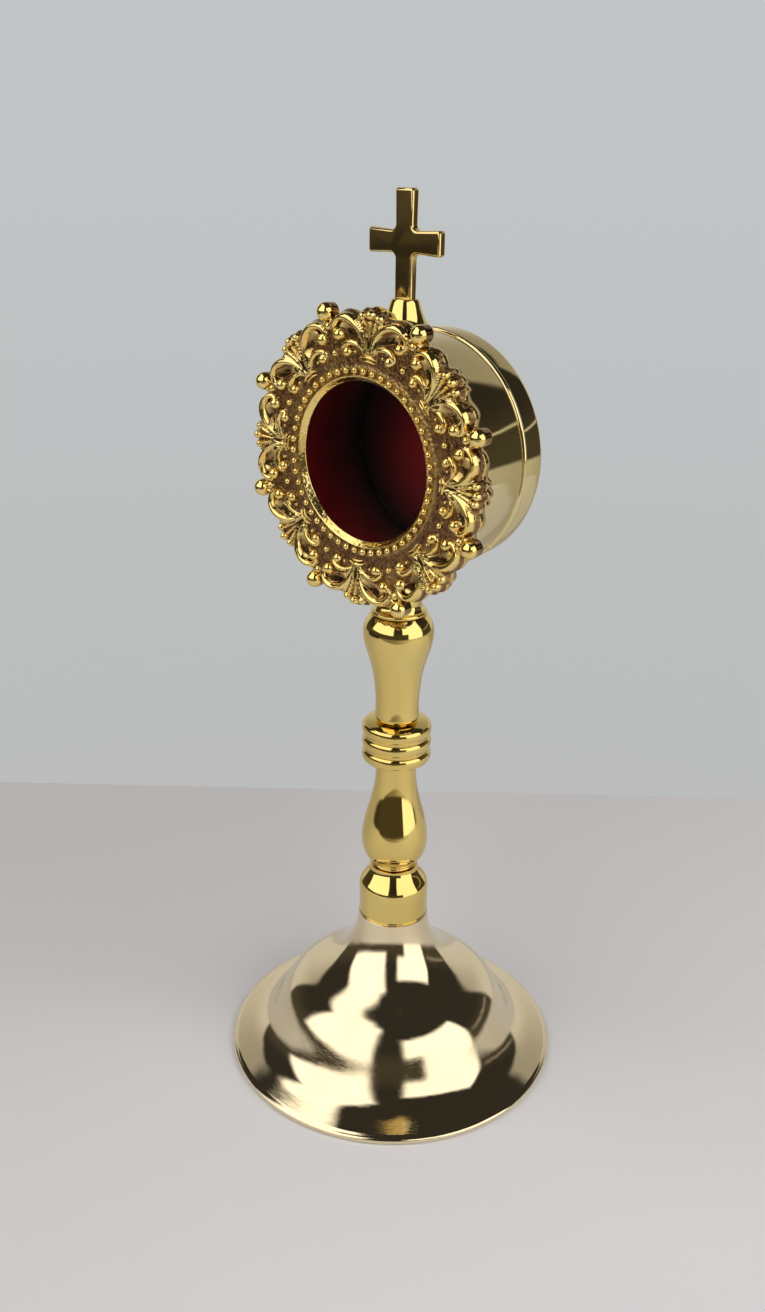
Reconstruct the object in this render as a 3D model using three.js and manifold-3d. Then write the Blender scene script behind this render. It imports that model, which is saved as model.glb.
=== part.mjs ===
// Small reliquary monstrance: a spun foot, a stem of turned pieces drawn together by one tie rod,
// a round relic case with a cast ornamental bezel and a slip-on back cover, and a cross on top.
// Millimetres, +Z up, origin at the centre of the foot's rim on the table.
// The window of the case faces -Y.

import * as THREE from 'three';
import { mergeVertices } from 'three/addons/utils/BufferGeometryUtils.js';
import Module from 'manifold-3d';

const wasm = await Module();
wasm.setup();

// ---- Driving dimensions -------------------------------------------------------------------

const SEAT_GAP = 0.05;            // between pieces that are clamped face to face
const FIT_GAP = 0.3;              // around pieces that are cut to a neighbour or slide on it

const FOOT_RADIUS = 45;
const FOOT_WALL = 1.0;
const FOOT_TOP_Z = 42.2;
const FOOT_NECK_RADIUS = 9.7;

const ROD_RADIUS = 2;             // M4 tie rod
const ROD_BORE = 2.3;
const ROD_BOTTOM_Z = 33.5;
const NUT_ACROSS_FLATS = 7;
const NUT_HEIGHT = 3.2;
const WASHER_RADIUS = 7;
const WASHER_THICKNESS = 1.0;

const COLLAR_TOP_Z = 56.9;
const LOWER_BALUSTER_TOP_Z = 88.5;
const KNOP_TOP_Z = 99.7;
const UPPER_BALUSTER_TOP_Z = 129.2;

const DRUM_CENTRE_Z = 169.3;
const DRUM_RADIUS = 28.7;
const DRUM_WALL = 1.0;
const DRUM_FRONT_Y = -10.4;
const BARREL_REAR_Y = 8.8;
const COVER_REAR_Y = 17.7;
const COVER_BEAD_PROUD = 0.6;
const SLEEVE_WALL = 0.8;
const SLEEVE_FRONT_Y = 1.0;
const SLEEVE_REAR_Y = 15.2;
const LINING_THICKNESS = 0.8;

const BEZEL_THICKNESS = 3.9;
const BEZEL_OPENING_RADIUS = 18.7;
const BEZEL_REBATE_RADIUS = 22;   // hollow behind the lip of the opening
const BEZEL_REBATE_DEPTH = 2.6;
const BEZEL_MEAN_RADIUS = 34.2;
const BEZEL_WAVE = 0.9;
const BEZEL_ROLL_DEG = 3.2;       // the casting is soldered on a little clockwise of upright
const BEZEL_LIFT = 0.5;           // and a little above the middle of the drum
const CORNER_COUNT = 8;
const CORNER_RADIUS = 34.9;
const CORNER_BEAD_RADIUS = 2.6;
const CORNER_PEG_RADIUS = 2.1;    // the post behind every corner bead

const GLASS_RADIUS = 26.5;
const GLASS_THICKNESS = 2.0;
const GLASS_RING_WIDTH = 2.6;
const GLASS_RING_THICKNESS = 1.0;

const SOCKET_TOP_Z = 205.6;
const SOCKET_BORE = 1.65;
const TANG_BOTTOM_Z = 200.5;
const CROSS_TOP_Z = 229.3;
const CROSS_ARM_Z = 217.9;
const CROSS_SPAN = 20.8;
const CROSS_SHAFT_WIDTH = 4.4;
const CROSS_ARM_HEIGHT = 4.8;
const CROSS_THICKNESS = 1.8;
const CROSS_BEVEL = 0.3;

const COARSE = 24;                // facets round a stem piece
const FINE = 40;                  // facets round the foot and the case

// ---- Finishes -----------------------------------------------------------------------------

const FINISHES = {
  pale_brass: { color: 0xd9c48f, roughness: 0.1, metalness: 1 },
  stem_brass: { color: 0xd8b458, roughness: 0.12, metalness: 1 },
  cast_brass: { color: 0xc4923a, roughness: 0.3, metalness: 1 },
  case_brass: { color: 0xc9b271, roughness: 0.1, metalness: 1 },
  steel: { color: 0xa8a9ad, roughness: 0.35, metalness: 1 },
  glass: { color: 0xf2f6f4, roughness: 0.02, metalness: 0, transparent: true, opacity: 0.3 },
  velvet: { color: 0x6d0f17, roughness: 0.95, metalness: 0 },
  card: { color: 0x8d7a62, roughness: 0.9, metalness: 0 },
};

// ---- Geometry helpers ---------------------------------------------------------------------

function toSolid(geometry) {
  const bare = geometry.index ? geometry.toNonIndexed() : geometry.clone();
  bare.deleteAttribute('normal');
  bare.deleteAttribute('uv');
  const merged = mergeVertices(bare, 1e-4);
  const triangles = [];
  for (let i = 0; i < merged.index.count; i += 3) {
    const [a, b, c] = [0, 1, 2].map((k) => merged.index.getX(i + k));
    if (a !== b && b !== c && c !== a) triangles.push(a, b, c);
  }
  const vertProperties = Float32Array.from(merged.attributes.position.array);
  const triVerts = Uint32Array.from(triangles);
  return new wasm.Manifold(new wasm.Mesh({ numProp: 3, vertProperties, triVerts }));
}

function toGeometry(solid) {
  const { vertProperties, triVerts } = solid.getMesh();
  const geometry = new THREE.BufferGeometry();
  geometry.setAttribute('position', new THREE.BufferAttribute(vertProperties, 3));
  geometry.setIndex(new THREE.BufferAttribute(triVerts, 1));
  geometry.computeVertexNormals();
  return geometry;
}

// A solid of revolution about the Y axis. The profile is a list of [radius, y] whose outer
// side runs towards +Y, and it starts and ends on the axis or closes on itself.
function lathe(profile, segments) {
  const points = profile.map(([radius, y]) => new THREE.Vector2(radius, y));
  return new THREE.LatheGeometry(points, segments);
}

// The same about the Z axis, for the foot and the stem.
function turned(profile, segments = COARSE) {
  return lathe(profile, segments).rotateX(Math.PI / 2);
}

function closed(profile) {
  return [...profile, profile[0]];
}

// The outline of a stem piece, closed by the tie rod's bore.
function bored(outline, bore = ROD_BORE) {
  const first = outline[0][1];
  const last = outline[outline.length - 1][1];
  return closed([[bore, first], ...outline, [bore, last]]);
}

function tube(inner, outer, start, end) {
  return closed([[inner, start], [outer, start], [outer, end], [inner, end]]);
}

function smooth(points, count) {
  const curve = new THREE.SplineCurve(points.map(([x, y]) => new THREE.Vector2(x, y)));
  return curve.getSpacedPoints(count).map((p) => [p.x, p.y]);
}

// Points on an arc of the given radius about [x, y], from one angle to another in degrees.
function arc(x, y, radius, from, to, steps = 4) {
  const points = [];
  for (let i = 0; i <= steps; i += 1) {
    const angle = THREE.MathUtils.degToRad(from + ((to - from) * i) / steps);
    points.push([x + radius * Math.cos(angle), y + radius * Math.sin(angle)]);
  }
  return points;
}

// The same line moved sideways towards the left of its direction.
function inset(line, distance) {
  return line.map((point, i) => {
    const before = line[Math.max(i - 1, 0)];
    const after = line[Math.min(i + 1, line.length - 1)];
    const [dx, dy] = [after[0] - before[0], after[1] - before[1]];
    const length = Math.hypot(dx, dy);
    return [point[0] - (dy / length) * distance, point[1] + (dx / length) * distance];
  });
}

// The space of the drum and the soldering gap round it, for cutting the pieces that meet it.
function drumSpace() {
  const radius = DRUM_RADIUS + FIT_GAP;
  const cylinder = new THREE.CylinderGeometry(radius, radius, 80, 2 * FINE);
  return toSolid(cylinder.translate(0, 0, DRUM_CENTRE_Z));
}

// ---- Foot ---------------------------------------------------------------------------------

// Outside of the spun foot: rolled lip, low shoulder, bell and short neck.
function footOutline() {
  const lip = [[FOOT_RADIUS, 0], [FOOT_RADIUS, 1.4], [FOOT_RADIUS - 0.6, 2.1]];
  const bell = smooth([[44, 2.3], [41, 3.3], [37.5, 4.9], [34.5, 7.3], [32.2, 10.8], [30, 15],
    [27.5, 18.6], [25, 21.1], [22, 23.2], [18.5, 25.6], [15, 28.4], [12.8, 31.3], [11, 34.9],
    [10.1, 38.3], [FOOT_NECK_RADIUS, FOOT_TOP_Z]], 14);
  return [...lip, ...bell];
}

function footShell() {
  const outside = footOutline();
  const inside = inset(outside.slice(3), FOOT_WALL).slice(0, -1).reverse();
  const neckInside = FOOT_NECK_RADIUS - FOOT_WALL;
  const ceiling = FOOT_TOP_Z - FOOT_WALL;
  const topDisc = [[ROD_BORE, FOOT_TOP_Z], [ROD_BORE, ceiling], [neckInside, ceiling]];
  const lipInside = [[FOOT_RADIUS - 1.8, 1.2], [FOOT_RADIUS - 1.8, 0]];
  return turned(closed([...outside, ...topDisc, ...inside.slice(0, -1), ...lipInside]), FINE);
}

const washerTop = FOOT_TOP_Z - FOOT_WALL - SEAT_GAP;
const nutTop = washerTop - WASHER_THICKNESS - SEAT_GAP;

function footNut() {
  const hexagon = new THREE.Shape();
  const corner = NUT_ACROSS_FLATS / Math.sqrt(3);
  for (let i = 0; i < 6; i += 1) {
    const angle = (i * Math.PI) / 3;
    hexagon[i ? 'lineTo' : 'moveTo'](corner * Math.cos(angle), corner * Math.sin(angle));
  }
  hexagon.closePath();
  hexagon.holes.push(new THREE.Path().absarc(0, 0, ROD_BORE, 0, 2 * Math.PI, true));
  const options = { depth: NUT_HEIGHT, bevelEnabled: false, curveSegments: COARSE };
  return new THREE.ExtrudeGeometry(hexagon, options).translate(0, 0, nutTop - NUT_HEIGHT);
}

// ---- Stem ---------------------------------------------------------------------------------

const rodTop = DRUM_CENTRE_Z - DRUM_RADIUS - 2.8;

function tieRod() {
  const top = rodTop;
  const chamfer = 0.4;
  return turned([[0, ROD_BOTTOM_Z], [ROD_RADIUS - chamfer, ROD_BOTTOM_Z],
    [ROD_RADIUS, ROD_BOTTOM_Z + chamfer], [ROD_RADIUS, top - chamfer],
    [ROD_RADIUS - chamfer, top], [0, top]], 16);
}

function lowerCollar() {
  const bottom = FOOT_TOP_Z + SEAT_GAP;
  return turned(bored([[9.4, bottom], [9.4, bottom + 0.7], [9.15, bottom + 1], [9.3, 50.3],
    ...arc(6.7, 50.5, 2.6, 5, 55), [6.9, 54.6], [5.7, COLLAR_TOP_Z]]));
}

function lowerBaluster() {
  const bottom = COLLAR_TOP_Z + SEAT_GAP;
  const body = smooth([[7.0, 59.3], [8.3, 61.6], [8.9, 65.1], [8.5, 69], [7.4, 73.4], [6.3, 77.6],
    [5.6, 81], [5.3, 84.6], [5.2, LOWER_BALUSTER_TOP_Z]], 11);
  return turned(bored([[5.5, bottom], [5.9, bottom + 0.5], [5.6, bottom + 0.9], [6.1, bottom + 1.4],
    [5.8, bottom + 1.9], ...body]));
}

// Three rings with a groove between each pair.
function ringedKnop() {
  const rings = 3;
  const bottom = LOWER_BALUSTER_TOP_Z + SEAT_GAP;
  const pitch = (KNOP_TOP_Z - bottom) / rings;
  const outline = [];
  for (let i = 0; i < rings; i += 1) {
    const middle = bottom + (i + 0.5) * pitch;
    const half = pitch / 2 - 0.35;
    outline.push([8.1, middle - pitch / 2 + (i ? 0.1 : 0)]);
    outline.push([8.75, middle - half], [9.05, middle - half / 2]);
    outline.push([9.05, middle + half / 2], [8.75, middle + half]);
  }
  return turned(bored([...outline, [8.1, KNOP_TOP_Z]]));
}

function upperBaluster() {
  const bottom = KNOP_TOP_Z + SEAT_GAP;
  const body = smooth([[5.75, 101.2], [5.6, 104], [5.75, 108.2], [6.3, 112.5], [7.3, 116.5],
    [8.4, 120.3], [9.0, 123.9], [8.6, 126.9], [7.1, UPPER_BALUSTER_TOP_Z]], 12);
  return turned(bored([[3.8, bottom], [3.8, 100.5], [5.8, 100.6], ...body]));
}

// Lip and concave neck that carry the drum; the tie rod screws into it from below.
function caseSaddle() {
  const bottom = UPPER_BALUSTER_TOP_Z + SEAT_GAP;
  const top = DRUM_CENTRE_Z - DRUM_RADIUS + 2.6;
  const boreTop = rodTop + 0.4;
  const outline = [[6.9, bottom], [7.1, bottom + 0.5], [6.9, bottom + 1.2],
    ...smooth([[6.1, 131], [5.7, 133], [5.8, 135.6], [6.7, 138.4], [9.4, top - 1]], 6), [9.4, top]];
  const blank = turned([[0, boreTop], [ROD_BORE, boreTop], [ROD_BORE, bottom], ...outline, [0, top]]);
  return toGeometry(toSolid(blank).subtract(drumSpace()));
}

// ---- Case ---------------------------------------------------------------------------------

const drumBore = DRUM_RADIUS - DRUM_WALL;
const sleeveOuter = drumBore - FIT_GAP;
const sleeveInner = sleeveOuter - SLEEVE_WALL;
const bandOuter = sleeveInner - FIT_GAP;
const coverMouth = BARREL_REAR_Y + 0.2;
const coverInside = COVER_REAR_Y - DRUM_WALL;
const glassFront = DRUM_FRONT_Y + SEAT_GAP;
const ringFront = glassFront + GLASS_THICKNESS + SEAT_GAP;
const bandFront = ringFront + GLASS_RING_THICKNESS + SEAT_GAP;
const cardRear = coverInside - FIT_GAP;
const cardFront = cardRear - LINING_THICKNESS;
const padThickness = 1.3;

function backCover() {
  const proud = DRUM_RADIUS + COVER_BEAD_PROUD;
  const corner = 1.8;
  return lathe([[0, coverInside], ...arc(drumBore - 1, coverInside - 1, 1, 90, 0, 3),
    [drumBore, coverMouth], [DRUM_RADIUS, coverMouth], [proud, coverMouth + 0.35],
    [proud, coverMouth + 1.05], [DRUM_RADIUS, coverMouth + 1.4],
    ...arc(DRUM_RADIUS - corner, COVER_REAR_Y - corner, corner, 0, 90),
    [0, COVER_REAR_Y]], FINE);
}

// Wavy outline of the cast bezel, with a high point at every corner and every middle.
function bezelPlate() {
  const outline = new THREE.Shape();
  const steps = 80;
  for (let i = 0; i < steps; i += 1) {
    const angle = (2 * Math.PI * i) / steps;
    const radius = BEZEL_MEAN_RADIUS + BEZEL_WAVE * Math.cos(2 * CORNER_COUNT * angle);
    outline[i ? 'lineTo' : 'moveTo'](radius * Math.cos(angle), radius * Math.sin(angle));
  }
  outline.closePath();
  outline.holes.push(new THREE.Path().absarc(0, 0, BEZEL_OPENING_RADIUS, 0, 2 * Math.PI, true));
  const options = { depth: BEZEL_THICKNESS, bevelEnabled: false, curveSegments: FINE / 2 };
  return new THREE.ExtrudeGeometry(outline, options).rotateX(Math.PI / 2);
}

function bead(radius, distance, degrees, depth) {
  const angle = THREE.MathUtils.degToRad(degrees);
  const ball = new THREE.SphereGeometry(radius, 10, 6);
  return toSolid(ball.translate(distance * Math.cos(angle), depth, distance * Math.sin(angle)));
}

function cornerPeg(degrees) {
  const peg = new THREE.CylinderGeometry(CORNER_PEG_RADIUS, CORNER_PEG_RADIUS, BEZEL_THICKNESS, 10);
  const angle = THREE.MathUtils.degToRad(degrees);
  const [x, z] = [CORNER_RADIUS * Math.cos(angle), CORNER_RADIUS * Math.sin(angle)];
  return toSolid(peg.translate(x, -BEZEL_THICKNESS / 2, z));
}

// Plate, pearl ring round the opening, scroll bosses and a large bead on a peg at every corner.
// The plate's back lies at y = 0 here and the ornament stands towards -Y.
function bezelFrame() {
  const ground = -BEZEL_THICKNESS;
  const pearlRing = lathe(closed([[19.2, ground + 0.5], [21.6, ground + 0.5],
    [21.7, ground - 0.3], [20.8, ground - 1.1], [19.9, ground - 0.7],
    [19.2, ground - 0.2]].reverse()), FINE);
  let frame = toSolid(bezelPlate()).add(toSolid(pearlRing));
  const pitch = 360 / CORNER_COUNT;
  for (let i = 0; i < CORNER_COUNT; i += 1) {
    const middle = i * pitch;
    frame = frame.add(cornerPeg(middle + pitch / 2));
    frame = frame.add(bead(CORNER_BEAD_RADIUS, CORNER_RADIUS, middle + pitch / 2, ground + 0.2));
    frame = frame.add(bead(1.7, 31, middle + pitch / 2, ground));
    for (const side of [-1, 1]) frame = frame.add(bead(2, 29.5, middle + side * 11, ground));
  }
  const rebate = new THREE.CylinderGeometry(BEZEL_REBATE_RADIUS, BEZEL_REBATE_RADIUS,
    2 * BEZEL_REBATE_DEPTH, FINE);
  return toGeometry(frame.subtract(toSolid(rebate)));
}

// ---- Finial and cross ---------------------------------------------------------------------

function finialSocket() {
  const bottom = DRUM_CENTRE_Z + DRUM_RADIUS - 0.6;
  const outline = [[6.7, bottom], [6.7, 198.4], [6.4, 198.9],
    ...smooth([[5.6, 199.3], [4.3, 200.6], [3.5, 202.6], [3.15, SOCKET_TOP_Z]], 5)];
  const blank = turned(bored(outline, SOCKET_BORE));
  return toGeometry(toSolid(blank).subtract(drumSpace()));
}

function cross() {
  const shaft = CROSS_SHAFT_WIDTH / 2;
  const arm = CROSS_ARM_HEIGHT / 2;
  const span = CROSS_SPAN / 2;
  const foot = SOCKET_TOP_Z + SEAT_GAP;
  const tang = 0.9;
  const fillet = 0.9;
  const inner = shaft + fillet;
  const low = CROSS_ARM_Z - arm;
  const high = CROSS_ARM_Z + arm;
  const right = [[tang, TANG_BOTTOM_Z], [tang, foot], [shaft, foot],
    ...arc(inner, low - fillet, fillet, 180, 90, 3), [span, low - 0.2], [span, high + 0.2],
    ...arc(inner, high + fillet, fillet, 270, 180, 3), [shaft, CROSS_TOP_Z]];
  const left = right.map(([x, z]) => [-x, z]).reverse();
  const shape = new THREE.Shape([...right, ...left].map(([x, z]) => new THREE.Vector2(x, z)));
  const depth = CROSS_THICKNESS;
  const plate = new THREE.ExtrudeGeometry(shape, { depth, bevelEnabled: false });
  return plate.translate(0, 0, -depth / 2).rotateX(Math.PI / 2);
}

// ---- Assembly -----------------------------------------------------------------------------

function piece(name, finish, geometry) {
  const mesh = new THREE.Mesh(geometry, new THREE.MeshStandardMaterial(FINISHES[finish]));
  mesh.name = name;
  return mesh;
}

const foot = new THREE.Group();
foot.add(
  piece('foot_shell', 'pale_brass', footShell()),
  piece('foot_washer', 'steel',
    turned(tube(ROD_BORE, WASHER_RADIUS, washerTop - WASHER_THICKNESS, washerTop))),
  piece('foot_nut', 'steel', footNut()),
);

const stem = new THREE.Group();
stem.add(
  piece('tie_rod', 'steel', tieRod()),
  piece('lower_collar', 'stem_brass', lowerCollar()),
  piece('lower_baluster', 'stem_brass', lowerBaluster()),
  piece('ringed_knop', 'stem_brass', ringedKnop()),
  piece('upper_baluster', 'stem_brass', upperBaluster()),
  piece('case_saddle', 'stem_brass', caseSaddle()),
);

const bezel = piece('bezel_frame', 'cast_brass', bezelFrame());
bezel.position.set(0, DRUM_FRONT_Y - SEAT_GAP, BEZEL_LIFT);
bezel.rotation.y = THREE.MathUtils.degToRad(BEZEL_ROLL_DEG);

const relicCase = new THREE.Group();
relicCase.position.z = DRUM_CENTRE_Z;
relicCase.add(
  bezel,
  piece('case_barrel', 'case_brass',
    lathe(tube(drumBore, DRUM_RADIUS, DRUM_FRONT_Y, BARREL_REAR_Y), FINE)),
  piece('spigot_sleeve', 'case_brass',
    lathe(tube(sleeveInner, sleeveOuter, SLEEVE_FRONT_Y, SLEEVE_REAR_Y), FINE)),
  piece('glass_disc', 'glass', lathe([[0, glassFront], [GLASS_RADIUS, glassFront],
    [GLASS_RADIUS, glassFront + GLASS_THICKNESS], [0, glassFront + GLASS_THICKNESS]], FINE)),
  piece('glass_ring', 'case_brass', lathe(tube(sleeveOuter - GLASS_RING_WIDTH, sleeveOuter,
    ringFront, ringFront + GLASS_RING_THICKNESS), FINE)),
  piece('lining_band', 'velvet',
    lathe(tube(bandOuter - LINING_THICKNESS, bandOuter, bandFront, cardFront - 1.8), FINE)),
);

const cover = new THREE.Group();
cover.add(
  piece('back_cover', 'case_brass', backCover()),
  piece('backing_card', 'card', lathe([[0, cardFront], [bandOuter, cardFront],
    [bandOuter, cardRear], [0, cardRear]], FINE)),
  piece('lining_disc', 'velvet', lathe([[0, cardFront - SEAT_GAP - padThickness],
    [bandOuter - 0.7, cardFront - SEAT_GAP - padThickness],
    [bandOuter, cardFront - SEAT_GAP - padThickness / 2],
    [bandOuter, cardFront - SEAT_GAP], [0, cardFront - SEAT_GAP]], FINE)),
);
relicCase.add(cover);

const finial = new THREE.Group();
finial.add(
  piece('finial_socket', 'stem_brass', finialSocket()),
  piece('cross', 'stem_brass', cross()),
);

const monstrance = new THREE.Group();
monstrance.add(foot, stem, relicCase, finial);

export default monstrance;
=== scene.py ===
"""Looks of the reliquary monstrance: fine surfaces, materials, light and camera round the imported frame.

Outlines are in mm. The object stands at the origin, with its window facing -Y and its cover +Y."""
import math

import bmesh
import bpy
import numpy as np
from mathutils import Matrix, Vector


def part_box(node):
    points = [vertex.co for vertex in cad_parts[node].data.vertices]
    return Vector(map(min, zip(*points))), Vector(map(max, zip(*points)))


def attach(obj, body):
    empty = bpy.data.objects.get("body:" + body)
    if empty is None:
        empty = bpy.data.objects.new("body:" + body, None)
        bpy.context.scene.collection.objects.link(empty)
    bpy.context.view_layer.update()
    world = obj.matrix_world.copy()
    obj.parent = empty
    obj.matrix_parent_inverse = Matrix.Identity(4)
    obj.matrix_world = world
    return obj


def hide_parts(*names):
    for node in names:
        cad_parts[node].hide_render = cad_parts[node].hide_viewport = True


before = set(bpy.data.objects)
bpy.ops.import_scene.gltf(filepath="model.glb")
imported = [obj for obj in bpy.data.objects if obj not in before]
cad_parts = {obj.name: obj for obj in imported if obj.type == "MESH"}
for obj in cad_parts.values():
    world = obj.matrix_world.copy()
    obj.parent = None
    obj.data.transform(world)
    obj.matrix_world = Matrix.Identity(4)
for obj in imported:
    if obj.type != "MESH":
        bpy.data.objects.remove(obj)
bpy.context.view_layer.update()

MM = 0.001
X, Y, Z = 0, 1, 2
ROUND = 192                          # facets round a turned piece
RNG = np.random.default_rng(7)


def span(node, axis):
    """Where a CAD node starts and ends along an axis, in mm."""
    low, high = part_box(node)
    return low[axis] / MM, high[axis] / MM


def radius_of(node):
    """Radius of a round CAD node, in mm."""
    low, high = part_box(node)
    return (high.x - low.x) / 2 / MM


BARREL_LOW, BARREL_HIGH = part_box("case_barrel")
DRUM_Z = ((BARREL_LOW + BARREL_HIGH) / 2).z / MM
DRUM_RADIUS = radius_of("case_barrel")
BARREL_FRONT, BARREL_REAR = span("case_barrel", Y)
COVER_FRONT, COVER_REAR = span("back_cover", Y)
FOOT_RADIUS = span("foot_shell", X)[1]
SHEET = 1.0                          # thickness of the foot's, the drum's and the cover's sheet
ROD_BORE = 2.3                       # radius of the hole for the tie rod
NECK_RADIUS = 9.35                   # where the foot meets the collar
NECK_TOP = 42.2


# ---- Curves -------------------------------------------------------------------------------

def spline(points, count):
    """A natural cubic spline through the points, evenly sampled, as an array."""
    p = np.array(points, float)
    t = np.concatenate([[0], np.cumsum(np.hypot(*np.diff(p, axis=0).T))])
    n = len(p)
    h = np.diff(t)
    a = np.eye(n)
    b = np.zeros((n, 2))
    for i in range(1, n - 1):
        a[i, i - 1:i + 2] = h[i - 1], 2 * (h[i - 1] + h[i]), h[i]
        b[i] = 6 * ((p[i + 1] - p[i]) / h[i] - (p[i] - p[i - 1]) / h[i - 1])
    m = np.linalg.solve(a, b)
    s = np.linspace(0, t[-1], count)
    k = np.clip(np.searchsorted(t, s, side="right") - 1, 0, n - 2)
    u = (s - t[k])[:, None]
    hk = h[k][:, None]
    left = m[k] * (hk - u) ** 3 / (6 * hk) + m[k + 1] * u ** 3 / (6 * hk)
    return left + (p[k] / hk - m[k] * hk / 6) * (hk - u) + (p[k + 1] / hk - m[k + 1] * hk / 6) * u


def arc(centre, radius, start, end, count=9):
    """Points of an arc from one angle to another, in degrees."""
    angles = np.radians(np.linspace(start, end, count))
    return np.column_stack([centre[0] + radius * np.cos(angles), centre[1] + radius * np.sin(angles)])


def rounded(points, radius):
    """A polyline whose inner corners are rounded with arcs of about the given radius."""
    out = [points[0]]
    for before, corner, after in zip(points, points[1:], points[2:]):
        c = np.array(corner, float)
        a = np.array(before, float) - c
        b = np.array(after, float) - c
        cut = min(radius, np.hypot(*a) * 0.45, np.hypot(*b) * 0.45)
        p = c + a / np.hypot(*a) * cut
        q = c + b / np.hypot(*b) * cut
        for t in np.linspace(0, 1, 5):
            out.append(tuple((1 - t) ** 2 * p + 2 * t * (1 - t) * c + t * t * q))
    out.append(points[-1])
    return out


def inset(line, distance):
    """A curve moved sideways by a distance, to its left."""
    d = np.gradient(line, axis=0)
    length = np.hypot(*d.T)[:, None]
    return line + np.column_stack([-d[:, 1], d[:, 0]]) / length * distance


# ---- Meshes -------------------------------------------------------------------------------

def new_object(name, mesh):
    obj = bpy.data.objects.new(name, mesh)
    bpy.context.scene.collection.objects.link(obj)
    return obj


def mesh_object(name, vertices, faces, smooth=True):
    mesh = bpy.data.meshes.new(name)
    mesh.from_pydata([tuple(v) for v in vertices], [], [tuple(f) for f in faces])
    mesh.validate()
    if smooth:
        mesh.shade_smooth()
    return new_object(name, mesh)


def lathe(name, profile, axis="Z", closed=False, crease=40):
    """A surface of revolution round the stem's axis, Z, or the drum's, Y. The profile is a list of
    (radius, place along the axis), whose outside runs towards the axis's positive end. Edges
    sharper than the crease, in degrees, stay sharp."""
    angles = np.linspace(0, 2 * math.pi, ROUND, endpoint=False)
    vertices, rings = [], []
    for radius, place in np.array(profile, float):
        ring = angles if radius > 1e-6 else angles[:1]
        rings.append(range(len(vertices), len(vertices) + len(ring)))
        for t in ring:
            across = radius * math.cos(t)
            other = radius * math.sin(t)
            if axis == "Z":
                vertices.append((across * MM, other * MM, place * MM))
            else:
                vertices.append((across * MM, place * MM, DRUM_Z * MM - other * MM))
    following = rings[1:] + rings[:1] if closed else rings[1:]
    faces = []
    for low, high in zip(rings, following):
        for i in range(ROUND):
            j = (i + 1) % ROUND
            corners = (low[i % len(low)], low[j % len(low)], high[j % len(high)], high[i % len(high)])
            faces.append(tuple(dict.fromkeys(corners)))
    obj = mesh_object(name, vertices, faces)
    obj.data.set_sharp_from_angle(angle=math.radians(crease))
    return obj


def dress(obj, material):
    obj.data.materials.clear()
    obj.data.materials.append(material)


def stand_for(obj, node, body, slot, material):
    """Puts a piece in the place of a CAD node, on its body."""
    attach(obj, body)
    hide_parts(node)
    dress(obj, material)
    return obj


# ---- Materials ----------------------------------------------------------------------------

class Nodes:
    """Adds and links the nodes of one tree."""

    def __init__(self, tree):
        self.tree = tree

    def add(self, kind, **settings):
        node = self.tree.nodes.new(kind)
        for key, value in settings.items():
            setattr(node, key, value)
        return node

    def link(self, output, socket):
        self.tree.links.new(output, socket)

    def feed(self, value, socket):
        """Sets a socket to a number or a colour, or links another node's output to it."""
        if isinstance(value, tuple):
            socket.default_value = (*value, 1)
        elif isinstance(value, (int, float)):
            socket.default_value = value
        else:
            self.link(value, socket)

    def ramp(self, value, low, high, start=0, end=1, **settings):
        """Takes a value from one range to another, and holds it at the ends."""
        node = self.add("ShaderNodeMapRange", **settings)
        for name, bound in (("From Min", low), ("From Max", high), ("To Min", start), ("To Max", end)):
            node.inputs[name].default_value = bound
        self.link(value, node.inputs["Value"])
        return node.outputs["Result"]

    def blend(self, factor, first, second):
        node = self.add("ShaderNodeMix", data_type="RGBA")
        self.link(factor, node.inputs[0])
        self.feed(first, node.inputs[6])
        self.feed(second, node.inputs[7])
        return node.outputs[2]

    def math(self, operation, a, b=0):
        node = self.add("ShaderNodeMath", operation=operation)
        self.feed(a, node.inputs[0])
        self.feed(b, node.inputs[1])
        return node.outputs[0]

    def hypot(self, a, b):
        squares = self.math("ADD", self.math("MULTIPLY", a, a), self.math("MULTIPLY", b, b))
        return self.math("SQRT", squares)

    def dot(self, vector, axis):
        node = self.add("ShaderNodeVectorMath", operation="DOT_PRODUCT")
        self.link(vector, node.inputs[0])
        node.inputs[1].default_value = axis
        return node.outputs["Value"]


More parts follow.
